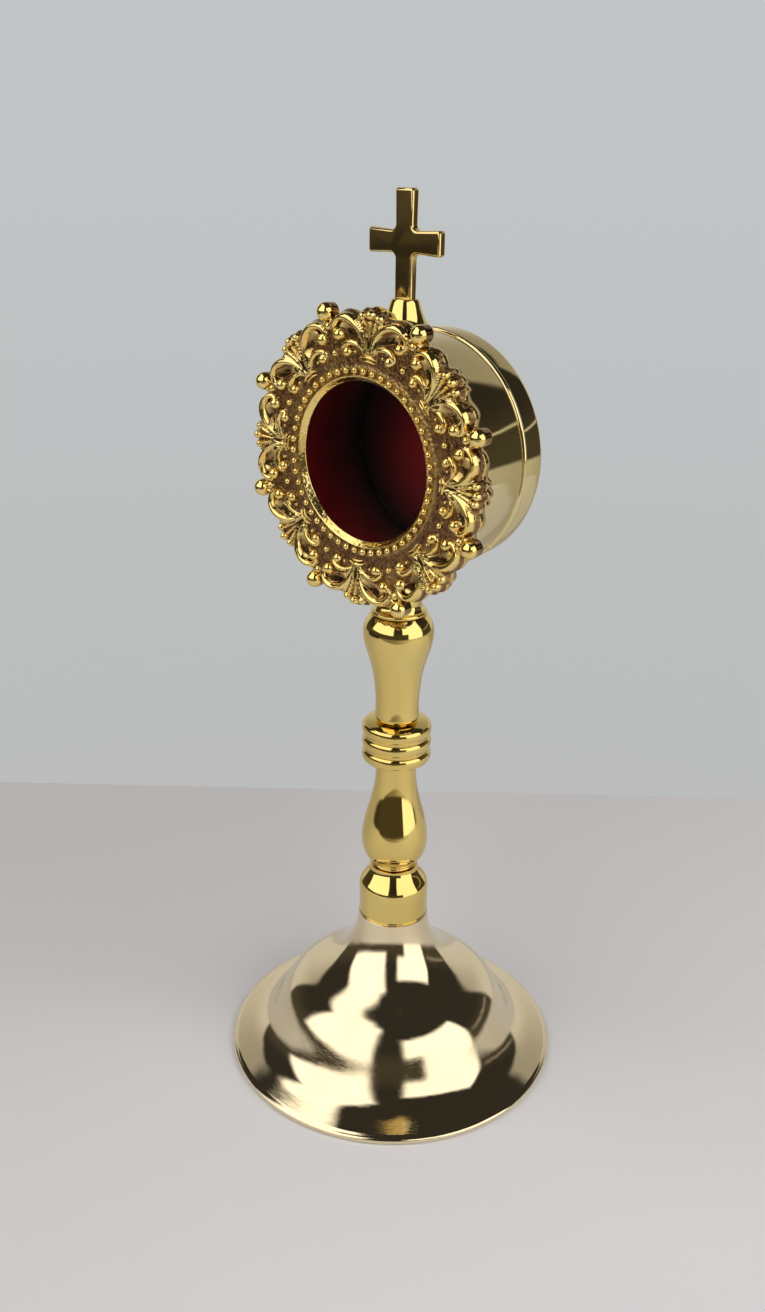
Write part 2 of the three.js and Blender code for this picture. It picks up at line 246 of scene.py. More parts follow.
class Shader(Nodes):
    """The nodes of one material, round its Principled shader."""

    def __init__(self, name):
        self.material = bpy.data.materials.new(name)
        self.material.use_nodes = True
        super().__init__(self.material.node_tree)
        self.bsdf = self.tree.nodes["Principled BSDF"]
        self.place = self.add("ShaderNodeTexCoord").outputs["Object"]

    def put(self, **values):
        """Sets the shader's own values, which are the same all over the surface."""
        for key, value in values.items():
            self.bsdf.inputs[key.replace("_", " ")].default_value = value

    def drive(self, name, output):
        """Links an output to one of the shader's sockets."""
        self.link(output, self.bsdf.inputs[name])

    def noise(self, scale, detail=4.0, rough=0.5, squeeze=None):
        node = self.add("ShaderNodeTexNoise")
        node.inputs["Scale"].default_value = scale
        node.inputs["Detail"].default_value = detail
        node.inputs["Roughness"].default_value = rough
        place = self.place
        if squeeze:
            mapping = self.add("ShaderNodeMapping")
            mapping.inputs["Scale"].default_value = squeeze
            self.link(place, mapping.inputs["Vector"])
            place = mapping.outputs["Vector"]
        self.link(place, node.inputs["Vector"])
        return node.outputs["Fac"]

    def attribute(self, name):
        return self.add("ShaderNodeAttribute", attribute_name=name).outputs["Fac"]

    def bump(self, height, distance, strength=1.0, below=None):
        """A normal bumped by a height, on top of another bump if there is one below. The distance
        is in metres."""
        node = self.add("ShaderNodeBump")
        node.inputs["Distance"].default_value = distance
        node.inputs["Strength"].default_value = strength
        self.link(height, node.inputs["Height"])
        if below is not None:
            self.link(below, node.inputs["Normal"])
        return node.outputs["Normal"]


def polished_brass(name, colour, deep, roughness, wave, line_axis=None):
    """Lacquered, machine-polished brass: slow waves, hairlines along the polishing and faint smears."""
    s = Shader(name)
    s.put(Metallic=1.0, IOR=1.5, Coat_Weight=0.25, Coat_Roughness=0.04)
    cloud = s.noise(55, 3)
    s.drive("Base Color", s.blend(s.ramp(cloud, 0.35, 0.7), colour, deep))
    smear = s.noise(140, 6, 0.65)
    s.drive("Roughness", s.ramp(smear, 0.3, 0.75, roughness * 0.7, roughness * 1.7))
    slow = s.bump(s.noise(70, 1.5), wave)
    squeeze = {"Z": (1, 1, 60), "Y": (1, 60, 1), None: (1, 1, 1)}[line_axis]
    lines = s.noise(260, 3, 0.7, squeeze)
    s.drive("Normal", s.bump(lines, wave * 0.06, 0.6, slow))
    return s.material


def cast_brass():
    """Antiqued casting: bright warm gold on the high parts, brown patina in the stippled ground, and
    painted shade deepening the creases.
    """
    s = Shader("cast_brass")
    s.put(Metallic=1.0, Coat_Weight=0.2, Coat_Roughness=0.08)
    # The relief attribute holds the casting's tone: height, patina, and painted shade in the creases.
    relief_tone_and_crease_shade = s.attribute("relief")
    ground = s.attribute("ground")
    grain = s.noise(900, 5, 0.7)
    blotch = s.noise(160, 4, 0.6)
    wear_and_crease_shade = s.math("ADD", relief_tone_and_crease_shade, s.ramp(blotch, 0.3, 0.7, -0.14, 0.14))
    recess = s.blend(s.ramp(grain, 0.35, 0.65), (0.09, 0.038, 0.015), (0.36, 0.2, 0.08))
    gold = s.blend(s.ramp(blotch, 0.35, 0.65), (0.98, 0.77, 0.3), (0.92, 0.66, 0.21))
    s.drive("Base Color", s.blend(s.ramp(wear_and_crease_shade, 0.02, 0.62), recess, gold))
    rough = s.math("MULTIPLY", ground, s.ramp(grain, 0.3, 0.7, 0.2, 0.36))
    s.drive("Roughness", s.math("ADD", rough, s.ramp(blotch, 0.3, 0.7, 0.06, 0.13)))
    cells = s.add("ShaderNodeTexVoronoi", feature="SMOOTH_F1")
    cells.inputs["Scale"].default_value = 1500
    s.link(s.place, cells.inputs["Vector"])
    stipple = s.math("MULTIPLY", cells.outputs["Distance"], ground)
    fine = s.bump(stipple, 0.00035, 0.9)
    s.drive("Normal", s.bump(s.noise(600, 3, 0.6), 0.00003, 0.5, fine))
    return s.material


def velvet():
    """Short upright pile, with painted shade where the lining turns the corner at the back of the case."""
    corner_radius = radius_of("lining_band") * MM
    corner_place = (span("lining_disc", Y)[0] + 0.55) * MM
    s = Shader("red_velvet")
    pile = s.noise(1400, 5, 0.7, (1, 1, 0.12))
    nap = s.noise(90, 3, 0.55, (1, 1, 0.12))
    split = s.add("ShaderNodeSeparateXYZ")
    s.link(s.place, split.inputs[0])
    out = s.hypot(split.outputs["X"], s.math("SUBTRACT", split.outputs["Z"], DRUM_Z * MM))
    inward = s.math("SUBTRACT", corner_radius, out)
    forward = s.math("SUBTRACT", corner_place, split.outputs["Y"])
    shade = s.blend(s.ramp(nap, 0.3, 0.7), (0.36, 0.012, 0.018), (0.52, 0.018, 0.024))
    # Painted shade: the velvet goes dark towards the corner where the band meets the disc.
    corner_shade_fade = s.ramp(s.hypot(inward, forward), 0.001, 0.022)
    corner = s.blend(corner_shade_fade, (0.03, 0.008, 0.01), shade)
    s.drive("Base Color", s.blend(s.ramp(pile, 0.3, 0.8, 0, 0.2), corner, (0.05, 0.002, 0.004)))
    s.put(Roughness=0.9, Sheen_Weight=0.15, Sheen_Roughness=0.4, Sheen_Tint=(0.8, 0.1, 0.12, 1))
    s.drive("Normal", s.bump(pile, 0.00004, 0.4))
    return s.material


def clear_glass():
    s = Shader("clear_glass")
    s.put(Transmission_Weight=1.0, IOR=1.22)
    dust = s.noise(500, 6, 0.7)
    s.drive("Roughness", s.ramp(dust, 0.5, 0.9, 0.0, 0.02))
    s.drive("Base Color", s.blend(s.noise(40, 2), (0.97, 0.99, 0.98), (0.93, 0.96, 0.95)))
    return s.material


def plated_steel():
    s = Shader("plated_steel")
    s.put(Metallic=1.0)
    spangle = s.noise(400, 5, 0.6)
    s.drive("Base Color", s.blend(spangle, (0.42, 0.43, 0.45), (0.62, 0.62, 0.6)))
    s.drive("Roughness", s.ramp(spangle, 0.3, 0.7, 0.28, 0.45))
    s.drive("Normal", s.bump(s.noise(1500, 2), 0.00002))
    return s.material


def board():
    s = Shader("board")
    fibre = s.noise(700, 6, 0.7, (1, 1, 0.3))
    s.drive("Base Color", s.blend(fibre, (0.3, 0.23, 0.16), (0.48, 0.4, 0.3)))
    s.put(Roughness=0.9)
    s.drive("Normal", s.bump(fibre, 0.0001))
    return s.material


FOOT_BRASS = polished_brass("foot_brass", (0.90, 0.77, 0.52), (0.88, 0.73, 0.46), 0.03, 0.00022, "Z")
STEM_BRASS = polished_brass("stem_brass", (0.84, 0.65, 0.22), (0.79, 0.58, 0.17), 0.05, 0.00006, "Z")
CASE_BRASS = polished_brass("case_brass", (0.78, 0.66, 0.35), (0.74, 0.6, 0.29), 0.045, 0.00006, "Y")
CROSS_BRASS = polished_brass("cross_brass", (0.78, 0.6, 0.26), (0.74, 0.55, 0.2), 0.09, 0.00012)
CAST_BRASS = cast_brass()
VELVET = velvet()
GLASS = clear_glass()
STEEL = plated_steel()
BOARD = board()

for node, material in (("foot_washer", STEEL), ("foot_nut", STEEL), ("tie_rod", STEEL),
                       ("backing_card", BOARD)):
    dress(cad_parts[node], material)


# ---- Foot and stem ------------------------------------------------------------------------

def foot():
    lip = arc((FOOT_RADIUS - 0.9, 0.95), 0.9, -85, 80, 13)
    bell = spline([(43.9, 2.2), (41, 3.3), (37.7, 4.75), (34.9, 6.9), (32.8, 10.1), (31.2, 13.5),
                   (29.4, 16.9), (27.2, 19.6), (24.6, 21.7), (21.6, 23.5), (18.2, 25.7), (14.9, 28.5),
                   (12.7, 31.4), (10.9, 34.9), (9.9, 38.3), (9.5, 42.1)], 150)
    inside_wall = inset(bell, SHEET)[2:-6][::-1]
    top = [(NECK_RADIUS, NECK_TOP), (ROD_BORE, NECK_TOP), (ROD_BORE, NECK_TOP - SHEET),
           (8.7, NECK_TOP - SHEET)]
    under = [(43.2, 1.3), (43.2, 0.25), (43.6, 0.02)]
    return lathe("foot_shell_spun", np.vstack([lip, bell, top, inside_wall, under]), closed=True)


def bored(outline):
    """Closes an outline along the hole for the tie rod."""
    outline = np.array(outline, float)
    return np.vstack([[(ROD_BORE, outline[0, 1])], outline, [(ROD_BORE, outline[-1, 1])]])


def lower_collar():
    low, high = span("lower_collar", Z)
    edge = rounded([(9.1, low), (NECK_RADIUS, low + 0.1), (NECK_RADIUS, low + 0.45), (9.1, low + 0.55),
                    (9.32, low + 0.75)], 0.12)
    body = spline([(NECK_RADIUS, 50.4), (9.2, 51.4), (8.5, 52.8), (7.6, 54.1), (6.9, 55.2), (6.5, 56.1),
                   (6.35, high)], 40)
    outline = np.vstack([edge, [(NECK_RADIUS, 48)], body])
    return lathe("lower_collar_turned", bored(outline), closed=True)


def lower_baluster():
    low, high = span("lower_baluster", Z)
    rings = [arc((5.45 + 0.25 * i, low + 0.5 + 0.9 * i), 0.42, -80, 80) for i in range(2)]
    body = spline([(6.2, 58.75), (7.1, 59.3), (7.9, 60.5), (8.55, 62.4), (8.9, 65.1), (8.6, 68.4),
                   (7.6, 72.7), (6.5, 76.9), (5.75, 80.4), (5.35, 84), (5.15, high)], 100)
    return lathe("lower_baluster_turned", bored(np.vstack([*rings, body])), closed=True)


def ringed_knop():
    low, high = span("ringed_knop", Z)
    count = 3
    pitch = (high - low) / count
    bulge = pitch / 2 - 0.28
    angles = np.radians(np.linspace(-80, 80, 15))
    parts = [[(7.2, low)]]
    for i in range(count):
        middle = low + (i + 0.5) * pitch
        parts.append(np.column_stack([8.05 + 0.98 * np.cos(angles) ** 0.7,
                                      middle + bulge * np.sin(angles)]))
    parts.append([(7.9, high)])
    return lathe("ringed_knop_turned", bored(np.vstack(parts)), closed=True)


def upper_baluster():
    low, high = span("upper_baluster", Z)
    foot_edge = rounded([(3.8, low), (3.8, low + 0.8), (5.7, low + 0.95), (5.8, low + 1.5)], 0.15)
    body = spline([(5.75, 101.6), (5.6, 104.2), (5.85, 108.8), (6.5, 113.5), (7.45, 117.2), (8.45, 120.6),
                   (9.0, 123.9), (8.75, 126.3), (8.0, 128), (7.1, high)], 100)
    return lathe("upper_baluster_turned", bored(np.vstack([foot_edge, body])), closed=True)


def hug_drum(obj, side):
    """Presses the end of a turned piece onto the drum, from above (side 1) or below (side -1)."""
    reach = DRUM_RADIUS + 0.02
    for v in obj.data.vertices:
        surface = DRUM_Z + side * math.sqrt(reach ** 2 - (v.co.x / MM) ** 2)
        v.co.z = side * max(side * v.co.z / MM, side * surface) * MM


def case_saddle():
    low = span("case_saddle", Z)[0]
    top = 141.6
    lip = arc((6.5, low + 0.62), 0.6, -80, 80)
    neck = spline([(6.45, low + 1.3), (5.9, 131.4), (5.65, 133.2), (5.75, 135.4), (6.3, 137.6),
                   (7.3, 139.8), (8.5, top)], 60)
    obj = lathe("case_saddle_turned", np.vstack([[(0, low)], lip, neck, [(0, top)]]))
    hug_drum(obj, -1)
    return obj


def finial_socket():
    high = span("finial_socket", Z)[1]
    rim = rounded([(6.2, 197.2), (6.75, 197.4), (6.7, 198.6), (6.2, 198.95)], 0.25)
    flare = spline([(6.6, 199.0), (5.8, 199.8), (4.95, 200.9), (4.3, 202.3), (3.8, 203.8),
                    (3.4, 205.0)], 50)
    top = rounded([(3.35, 205.1), (3.1, high), (1.6, high)], 0.3)
    obj = lathe("finial_socket_turned", np.vstack([rim, flare, top, [(0, high - 0.02)]]))
    hug_drum(obj, 1)
    return obj


for make, node, material, slot in (
        (foot, "foot_shell", FOOT_BRASS, "pale_brass"),
        (lower_collar, "lower_collar", STEM_BRASS, "stem_brass"),
        (lower_baluster, "lower_baluster", STEM_BRASS, "stem_brass"),
        (ringed_knop, "ringed_knop", STEM_BRASS, "stem_brass"),
        (upper_baluster, "upper_baluster", STEM_BRASS, "stem_brass"),
        (case_saddle, "case_saddle", STEM_BRASS, "stem_brass"),
        (finial_socket, "finial_socket", STEM_BRASS, "stem_brass")):
    stand_for(make(), node, "stand", slot, material)


# ---- Case ---------------------------------------------------------------------------------

def tube(name, bore, radius, front, rear, seam, soft):
    """A tube along the drum's axis, its four corners softened. Its outline starts and ends in the
    bore, a little way (seam) behind the front."""
    profile = [(bore, front + seam), (bore, front), (radius, front), (radius, rear), (bore, rear),
               (bore, front + seam + 0.05)]
    return lathe(name, rounded(profile, soft), "Y", closed=True)


def case_barrel():
    return tube("case_barrel_tube", DRUM_RADIUS - SHEET, DRUM_RADIUS, BARREL_FRONT, BARREL_REAR, 0.3, 0.12)


def back_cover():
    bore = DRUM_RADIUS - SHEET
    proud = 0.55
    share = np.linspace(0, 1, 13)
    bead = np.column_stack([DRUM_RADIUS - 0.05 + proud * np.sin(np.linspace(0, math.pi, 13)) ** 0.6,
                            COVER_FRONT + 0.05 + 1.35 * share])
    shoulder = arc((DRUM_RADIUS - 1.9, COVER_REAR - 1.9), 1.9, 0, 90, 15)
    inner = arc((bore - 1.0, COVER_REAR - 2.0), 1.0, 90, 0)
    mouth = [(bore, COVER_FRONT + 0.1), (bore + 0.1, COVER_FRONT), (DRUM_RADIUS - 0.15, COVER_FRONT)]
    profile = np.vstack([[(0, COVER_REAR - SHEET)], inner, mouth, bead, [(DRUM_RADIUS, COVER_FRONT + 1.6)],
                         shoulder, [(12, COVER_REAR), (0, COVER_REAR)]])
    return lathe("back_cover_cup", profile, "Y")


def spigot_sleeve():
    radius = radius_of("spigot_sleeve")
    return tube("spigot_sleeve_tube", radius - 0.8, radius, *span("spigot_sleeve", Y), 0.2, 0.15)


def glass_disc():
    radius = radius_of("glass_disc")
    front, rear = span("glass_disc", Y)
    chamfer = 0.3
    profile = [(0, front), (radius - chamfer, front), (radius, front + chamfer), (radius, rear - chamfer),
               (radius - chamfer, rear), (0, rear)]
    return lathe("glass_disc_pane", profile, "Y", crease=20)


def glass_ring():
    radius = radius_of("glass_ring")
    return tube("glass_ring_turned", radius - 2.6, radius, *span("glass_ring", Y), 0.3, 0.2)


def lining_band():
    """Velvet glued round the inside of the case, with slow ripples from back to front."""
    outer = radius_of("lining_band")
    front, rear = span("lining_band", Y)
    inner = [(outer - 0.8, y) for y in np.linspace(rear - 0.25, front + 0.25, 28)]
    ends = [(outer - 0.6, front), (outer - 0.1, front), (outer, front + 0.1), (outer, rear - 0.1),
            (outer - 0.1, rear), (outer - 0.6, rear)]
    obj = lathe("lining_band_velvet", inner + ends, "Y", closed=True)
    for v in obj.data.vertices:
        x, z = v.co.x / MM, v.co.z / MM - DRUM_Z
        r = math.hypot(x, z)
        if r < outer - 0.7:
            t = math.atan2(z, x)
            ripple = 0.13 * math.sin(23 * t + 0.25 * v.co.y / MM) + 0.08 * math.sin(41 * t + 1.7)
            scale = (r - 0.2 - ripple) / r
            v.co.x *= scale
            v.co.z = (DRUM_Z + z * scale) * MM
    return obj


def lining_disc():
    """Velvet-covered pad on the back board, slightly crowned, its edge turned over."""
    radius = radius_of("lining_disc")
    front, rear = span("lining_disc", Y)
    crown = [(radius * t, front + 0.28 * t ** 3) for t in np.linspace(0, 0.93, 26)]
    edge = arc((radius - 0.75, (front + rear) / 2 + 0.1), 0.62, -70, 80, 11)
    profile = np.vstack([crown, edge, [(radius - 1.2, rear), (0, rear)]])
    return lathe("lining_disc_velvet", profile, "Y")


for make, node, body, material, slot in (
        (case_barrel, "case_barrel", "stand", CASE_BRASS, "case_brass"),
        (spigot_sleeve, "spigot_sleeve", "stand", CASE_BRASS, "case_brass"),
        (glass_disc, "glass_disc", "stand", GLASS, "clear_glass"),
        (glass_ring, "glass_ring", "stand", CASE_BRASS, "case_brass"),
        (lining_band, "lining_band", "stand", VELVET, "red_velvet"),
        (back_cover, "back_cover", "cover", CASE_BRASS, "case_brass"),
        (lining_disc, "lining_disc", "cover", VELVET, "red_velvet")):
    piece = stand_for(make(), node, body, slot, material)
    if node == "lining_band":
        low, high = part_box(node)


# ---- Bezel --------------------------------------------------------------------------------
# A motif is drawn as half a sector, with x out from its middle line and y away from the axis.

SECTORS = 8
HALF = math.radians(180 / SECTORS)
COLUMNS = 46                         # grid columns to a half sector
ROWS = 116
BEZEL_ROLL = math.radians(-3.2)      # clockwise as seen from the front
BEZEL_Z = DRUM_Z + 0.5
WARP = (-0.8, -2.3, -0.6, 0.4, 0.1, 0.1, 1.0, 2.4)     # degrees each corner is out of its even place
OPENING = 18.7
LIP = 19.9                           # crest of the smooth lip round the opening
REBATE = 22.0                        # hollow behind the lip
PEARL_CIRCLE = 21.1
PEARL_BAND = PEARL_CIRCLE + 1.4      # outer edge of the plain band under the pearls
PEARL_SHIFT = (-0.25, 0.1)
PEARL_RADIUS = 0.84
PEARLS = 50
CORNER_CIRCLE = 34.9
CORNER_RADIUS = 2.15
CORNER_PEG = 2.4                     # how far a corner bead is drawn back
PLATE_BACK = BARREL_FRONT - 0.05
GROUND_Y = PLATE_BACK - 3.9          # level of the stippled ground

LEAF = [(1.1, 25.4), (1.7, 28), (3.2, 30.2), (5.2, 31.4), (7.4, 31.4), (8.6, 30.2), (8.3, 29.0),
        (6.9, 28.6), (5.2, 28.0), (3.6, 27.4), (2.2, 26.2)]
SCROLL = [(0.75, 24.9), (1.25, 27.3), (2.6, 29.8), (4.7, 31.6), (7.1, 32.2), (9.2, 31.5), (10.3, 29.8),
          (9.9, 28.3), (8.7, 27.9)]
CURL = [(1.2, 25.0), (2.5, 26.3), (4.4, 26.9), (6.2, 26.5), (7.2, 25.2), (6.6, 24.2)]
RIBS = ([(0, 25.0), (0, 28.4), (0, 32.0)],
        [(0.5, 25.2), (0.75, 28.4), (1.7, 31.9)],
        [(0.9, 26.0), (1.6, 29.2), (3.2, 32.2)])
RIDGES = (                           # a curve, and the widths and heights along it
    (SCROLL, [0.3, 0.42, 0.62, 0.95, 1.15, 1.1, 0.95, 0.8, 0.55],
     [0.8, 1.0, 1.3, 1.65, 1.85, 1.8, 1.55, 1.2, 0.9]),
    (CURL, [0.3, 0.45, 0.75, 0.85, 0.7, 0.5], [0.6, 0.85, 1.15, 1.25, 1.1, 0.8]),
    *((rib, [0.22, 0.3, 0.42, 0.55], [0.7, 0.85, 1.05, 1.25]) for rib in RIBS),
    ([(0, 24.45), (1.0, 24.4), (1.9, 24.1)], [0.5, 0.45, 0.35], [1.15, 1.05, 0.8]),
    ([(0, 23.55), (0.8, 23.5), (1.5, 23.3)], [0.4, 0.35, 0.3], [0.9, 0.85, 0.6]),
    ([(11.3, 30.6), (12.2, 31.6), (13.2, 32.4)], [0.6, 0.7, 0.9], [0.8, 1.1, 1.4]))
DOMES = (                            # x, y, radius and height
    (8.75, 28.0, 1.5, 1.9), (5.95, 24.6, 1.25, 1.6), (0.0, 33.7, 1.15, 1.8), (2.25, 33.2, 1.05, 1.5),
    (3.9, 24.9, 0.5, 0.6),
    (math.sin(HALF) * 25.5, math.cos(HALF) * 25.5, 0.85, 1.05),
    (math.sin(HALF) * 31.7, math.cos(HALF) * 31.7, 1.05, 1.3))
OUTLINE = [(0, 35.3), (1.5, 35.0), (2.4, 34.5), (3.4, 34.7), (4.8, 34.7), (6.0, 33.9), (7.5, 33.6),
           (9.5, 33.9), (12, 34.4), (14.5, 34.4), (17, 33.8), (18.6, 33.2), (20.4, 33.5),
           (22.5, 34.3)]             # degrees from the motif's middle, and the edge's radius


def ridge(points, widths, heights, x, y):
    """Height of a rounded ridge that follows a curve, with its own width and height along it."""
    count = 90
    path = spline(points, count)
    s = np.linspace(0, 1, count)
    keys = np.linspace(0, 1, len(widths))
    w = np.interp(s, keys, widths)
    h = np.interp(s, keys, heights)
    d = np.hypot(x[..., None] - path[:, 0], y[..., None] - path[:, 1]) / w
    return (h * np.sqrt(np.clip(1 - d ** 2, 0, None))).max(-1)


def dome(cx, cy, radius, height, x, y):
    d2 = ((x - cx) ** 2 + (y - cy) ** 2) / radius ** 2
    return height * np.sqrt(np.clip(1 - d2, 0, None))


def inside(points, x, y, soft):
    """1 inside a closed curve, falling to 0 over a soft edge."""
    p = spline(points + [points[0]], 120)
    a, b = p[:-1], p[1:]
    dx, dy = (b - a).T
    px = x[..., None] - a[:, 0]
    py = y[..., None] - a[:, 1]
    t = np.clip((px * dx + py * dy) / (dx ** 2 + dy ** 2 + 1e-12), 0, 1)
    distance = np.hypot(px - t * dx, py - t * dy).min(-1)
    crosses = ((a[:, 1] > y[..., None]) != (b[:, 1] > y[..., None])) & (
        px < dx * py / np.where(np.abs(dy) < 1e-9, 1e-9, dy))
    signed = np.where(crosses.sum(-1) % 2 == 1, distance, -distance)
    return np.clip(signed / soft + 0.5, 0, 1)


def relief(rho, alpha):
    """Height over the ground, and how much of the ground shows, in a half sector. alpha runs
    from 0 at the middle of a motif to HALF at a corner."""
    x = rho * np.sin(alpha)
    y = rho * np.cos(alpha)
    dish = 0.2 + 0.075 * ((x - 5.6) ** 2 + (y - 28.9) ** 2)
    h = inside(LEAF, x, y, 0.5) * np.clip(dish, 0, 0.95)
    for points, widths, heights in RIDGES:
        h = np.maximum(h, ridge(points, widths, heights, x, y))
    for cx, cy, radius, top in DOMES:
        h = np.maximum(h, dome(cx, cy, radius, top, x, y))
    return h, np.clip(1 - h / 0.35, 0, 1)


def edge_radius(alpha):
    path = spline(OUTLINE, 200)
    return np.interp(np.degrees(alpha), path[:, 0], path[:, 1])


def crease_patina_and_shade(height):
    """How far each point of a grid lies below its surroundings: a darkening of the creases, partly patina,
    partly painted shade.
    """
    around_it = height
    for _ in range(9):
        padded = np.pad(around_it, 1, mode="edge")
        around_it = (padded[:-2, 1:-1] + padded[2:, 1:-1] + padded[1:-1, :-2] + padded[1:-1, 2:]) / 4
    return np.clip((around_it - height) * 2.2, -0.25, 0.6)


def half_sector(alpha):
    """Radii, heights over the ground, and the shares of ground and of crease darkening (patina and painted
    shade), on a grid.
    """
    rim = edge_radius(alpha)[None, :]
    rho = OPENING + (rim - OPENING) * np.linspace(0, 1, ROWS)[:, None]
    height, ground = relief(rho, np.broadcast_to(alpha, rho.shape))
    lip = np.interp(rho, [OPENING, OPENING + 0.15, LIP - 0.1, LIP + 0.1, LIP + 0.4, PEARL_CIRCLE + 0.7,
                          PEARL_BAND], [-0.6, -0.45, 0.75, 0.75, 0.3, 0.25, 0])
    height = np.where(rho < LIP, lip, np.where(rho < PEARL_BAND, np.maximum(lip, height), height))
    ground = np.where(rho < LIP + 0.1, 0.2, ground)
    drop = np.clip((rim - rho) / 0.9, 0, 1)
    height = (height + 1.1) * np.sqrt(1 - (1 - drop) ** 2) - 1.1
    return rho, height, ground, crease_patina_and_shade(height)


def warped(angle):
    """The angle of a point of the ornament after the casting's roll and small unevenness."""
    place = (angle / (2 * HALF) - 0.5) % SECTORS
    i = int(place)
    t = place - i
    t = t * t * (3 - 2 * t)
    off = WARP[i] * (1 - t) + WARP[(i + 1) % SECTORS] * t
    return angle + BEZEL_ROLL + math.radians(off)


def ball(centre, radius, rings, segments):
    """Vertices and faces of a ball whose poles lie along Y."""
    vertices = [(centre[0], centre[1] - radius, centre[2])]
    for i in range(1, rings):
        t = math.pi * i / rings
        for k in range(segments):
            p = 2 * math.pi * k / segments
            vertices.append((centre[0] + radius * math.sin(t) * math.cos(p),
                             centre[1] - radius * math.cos(t),
                             centre[2] + radius * math.sin(t) * math.sin(p)))
    vertices.append((centre[0], centre[1] + radius, centre[2]))
    faces = []
    last = len(vertices) - 1
    for k in range(segments):
        n = (k + 1) % segments
        faces.append((1 + k, 1 + n, 0))
        faces.append((last - segments + n, last - segments + k, last))
        for i in range(rings - 2):
            a = 1 + i * segments
            faces.append((a + segments + k, a + segments + n, a + n, a + k))
    return vertices, faces


def peg(point, centre):
    """Draws the rear half of a corner bead back into a slightly conical peg."""
    back = (point[1] - centre[1]) / CORNER_RADIUS
    if back <= 0:
        return point
    side = math.hypot(point[0] - centre[0], point[2] - centre[2]) / CORNER_RADIUS
    grow = (1 - 0.1 * back) / side if side > 0.25 else 1
    return (centre[0] + (point[0] - centre[0]) * grow, centre[1] + CORNER_PEG * min(1, 1.15 * back),
            centre[2] + (point[2] - centre[2]) * grow)


def beads():
    """The pearls round the opening and the beads at the corners."""
    for k in range(PEARLS):
        angle = 2 * math.pi * (k + 0.5) / PEARLS + BEZEL_ROLL
        size = PEARL_RADIUS * (1 + 0.05 * RNG.normal())
        yield ball((PEARL_CIRCLE * math.cos(angle) + PEARL_SHIFT[0], GROUND_Y - 0.75,
                    BEZEL_Z + PEARL_CIRCLE * math.sin(angle) + PEARL_SHIFT[1]), size, 9, 14)
    for s in range(SECTORS):
        corner = warped((2 * s + 1) * HALF)
        centre = (CORNER_CIRCLE * math.cos(corner), GROUND_Y - 0.2,
                  BEZEL_Z + CORNER_CIRCLE * math.sin(corner))
        points, faces = ball(centre, CORNER_RADIUS, 18, 28)
        yield [peg(p, centre) for p in points], faces


def bezel_frame():
    alpha = np.linspace(0, HALF, COLUMNS)
    order, angles = [], []
    for s in range(SECTORS):
        middle = s * 2 * HALF
        order += [*range(COLUMNS - 1), *range(COLUMNS - 1, 0, -1)]
        angles += [*(middle + alpha[:-1]), *(middle + 2 * HALF - alpha[:0:-1])]
    angles = np.array([warped(t) for t in angles])
    rho, height, ground, crease = (grid[:, order] for grid in half_sector(alpha))
    height = height + RNG.normal(0, 0.035, height.shape) * ground * (rho > LIP + 0.2)
    # Tone: gold on the high parts, patina brown low down, less the crease darkening, which is partly
    # painted shade.
    tone = np.where(rho < LIP, 0.62, np.clip(height, 0, 1.5) / 1.5 - crease)

    n = len(order)
    rim = rho[-1]
    skirt = (                        # radius, place and shade of the rings behind the ornament
        (rim + 0.12, GROUND_Y + 1.4, 0.5), (rim, GROUND_Y + 2.6, 0.35), (rim - 0.5, PLATE_BACK, 0.2),
        (REBATE, PLATE_BACK, 0.2), (REBATE, GROUND_Y + 1.3, 0.1), (REBATE - 1.2, GROUND_Y + 1.05, 0.1),
        (OPENING + 0.3, GROUND_Y + 0.95, 0.3), (OPENING, GROUND_Y + 0.8, 0.4))
    skirt_radii, skirt_places, skirt_tones = ([np.full(n, value) for value in column]
                                              for column in zip(*skirt))
    radii = np.vstack([rho, *skirt_radii])
    places = np.vstack([GROUND_Y - height, *skirt_places])
    vertices = list(zip((radii * np.cos(angles) * MM).ravel(), (places * MM).ravel(),
                        ((BEZEL_Z + radii * np.sin(angles)) * MM).ravel()))
    tones = list(np.vstack([np.clip(tone, 0, 1), *skirt_tones]).ravel())
    grounds = [*ground.ravel(), *[0.1] * (n * len(skirt))]
    faces = []
    for i in range(len(radii)):
        a = i * n
        b = (i + 1) % len(radii) * n
        for k in range(n):
            m = (k + 1) % n
            faces.append((a + k, a + m, b + m, b + k))

    for points, bead_faces in beads():
        start = len(vertices)
        vertices += [(x * MM, y * MM, z * MM) for x, y, z in points]
        faces += [tuple(start + i for i in face) for face in bead_faces]
        tones += [float(np.clip((GROUND_Y - y) / 1.3, 0.1, 1)) for _, y, _ in points]
        grounds += [0.0] * len(points)
    obj = mesh_object("bezel_frame_cast", vertices, faces)
    for name, data in (("relief", tones), ("ground", grounds)):
        layer = obj.data.attributes.new(name, "FLOAT", "POINT")
        layer.data.foreach_set("value", np.array(data, np.float32))
    return obj


stand_for(bezel_frame(), "bezel_frame", "stand", "cast_brass", CAST_BRASS)


# ---- Cross --------------------------------------------------------------------------------

def cross_outline(top, span_x, foot_z):
    """The right-hand half of the outline from the foot up, then its mirror image down."""
    arm_z = 217.9
    arm = 2.5                        # half the arm's height
    shaft = 2.45                     # half the shaft's width
    flare = 0.3
    fillet = 1.3
    cut = 0.5                        # off each outer corner
    inner = shaft + fillet
    right = [(shaft, foot_z - 1.5), (shaft, foot_z + 3)]
    right += [tuple(p) for p in arc((inner, arm_z - arm - fillet), fillet, 180, 90, 7)]
    right += [(span_x - cut, arm_z - arm - flare), (span_x, arm_z - arm - flare + cut),
              (span_x, arm_z + arm + flare - cut), (span_x - cut, arm_z + arm + flare)]
    right += [tuple(p) for p in arc((inner, arm_z + arm + fillet), fillet, 270, 180, 7)]
    right += [(shaft + flare / 2, top - cut), (shaft + flare / 2 - cut, top)]
    return right + [(-x, z) for x, z in reversed(right)]


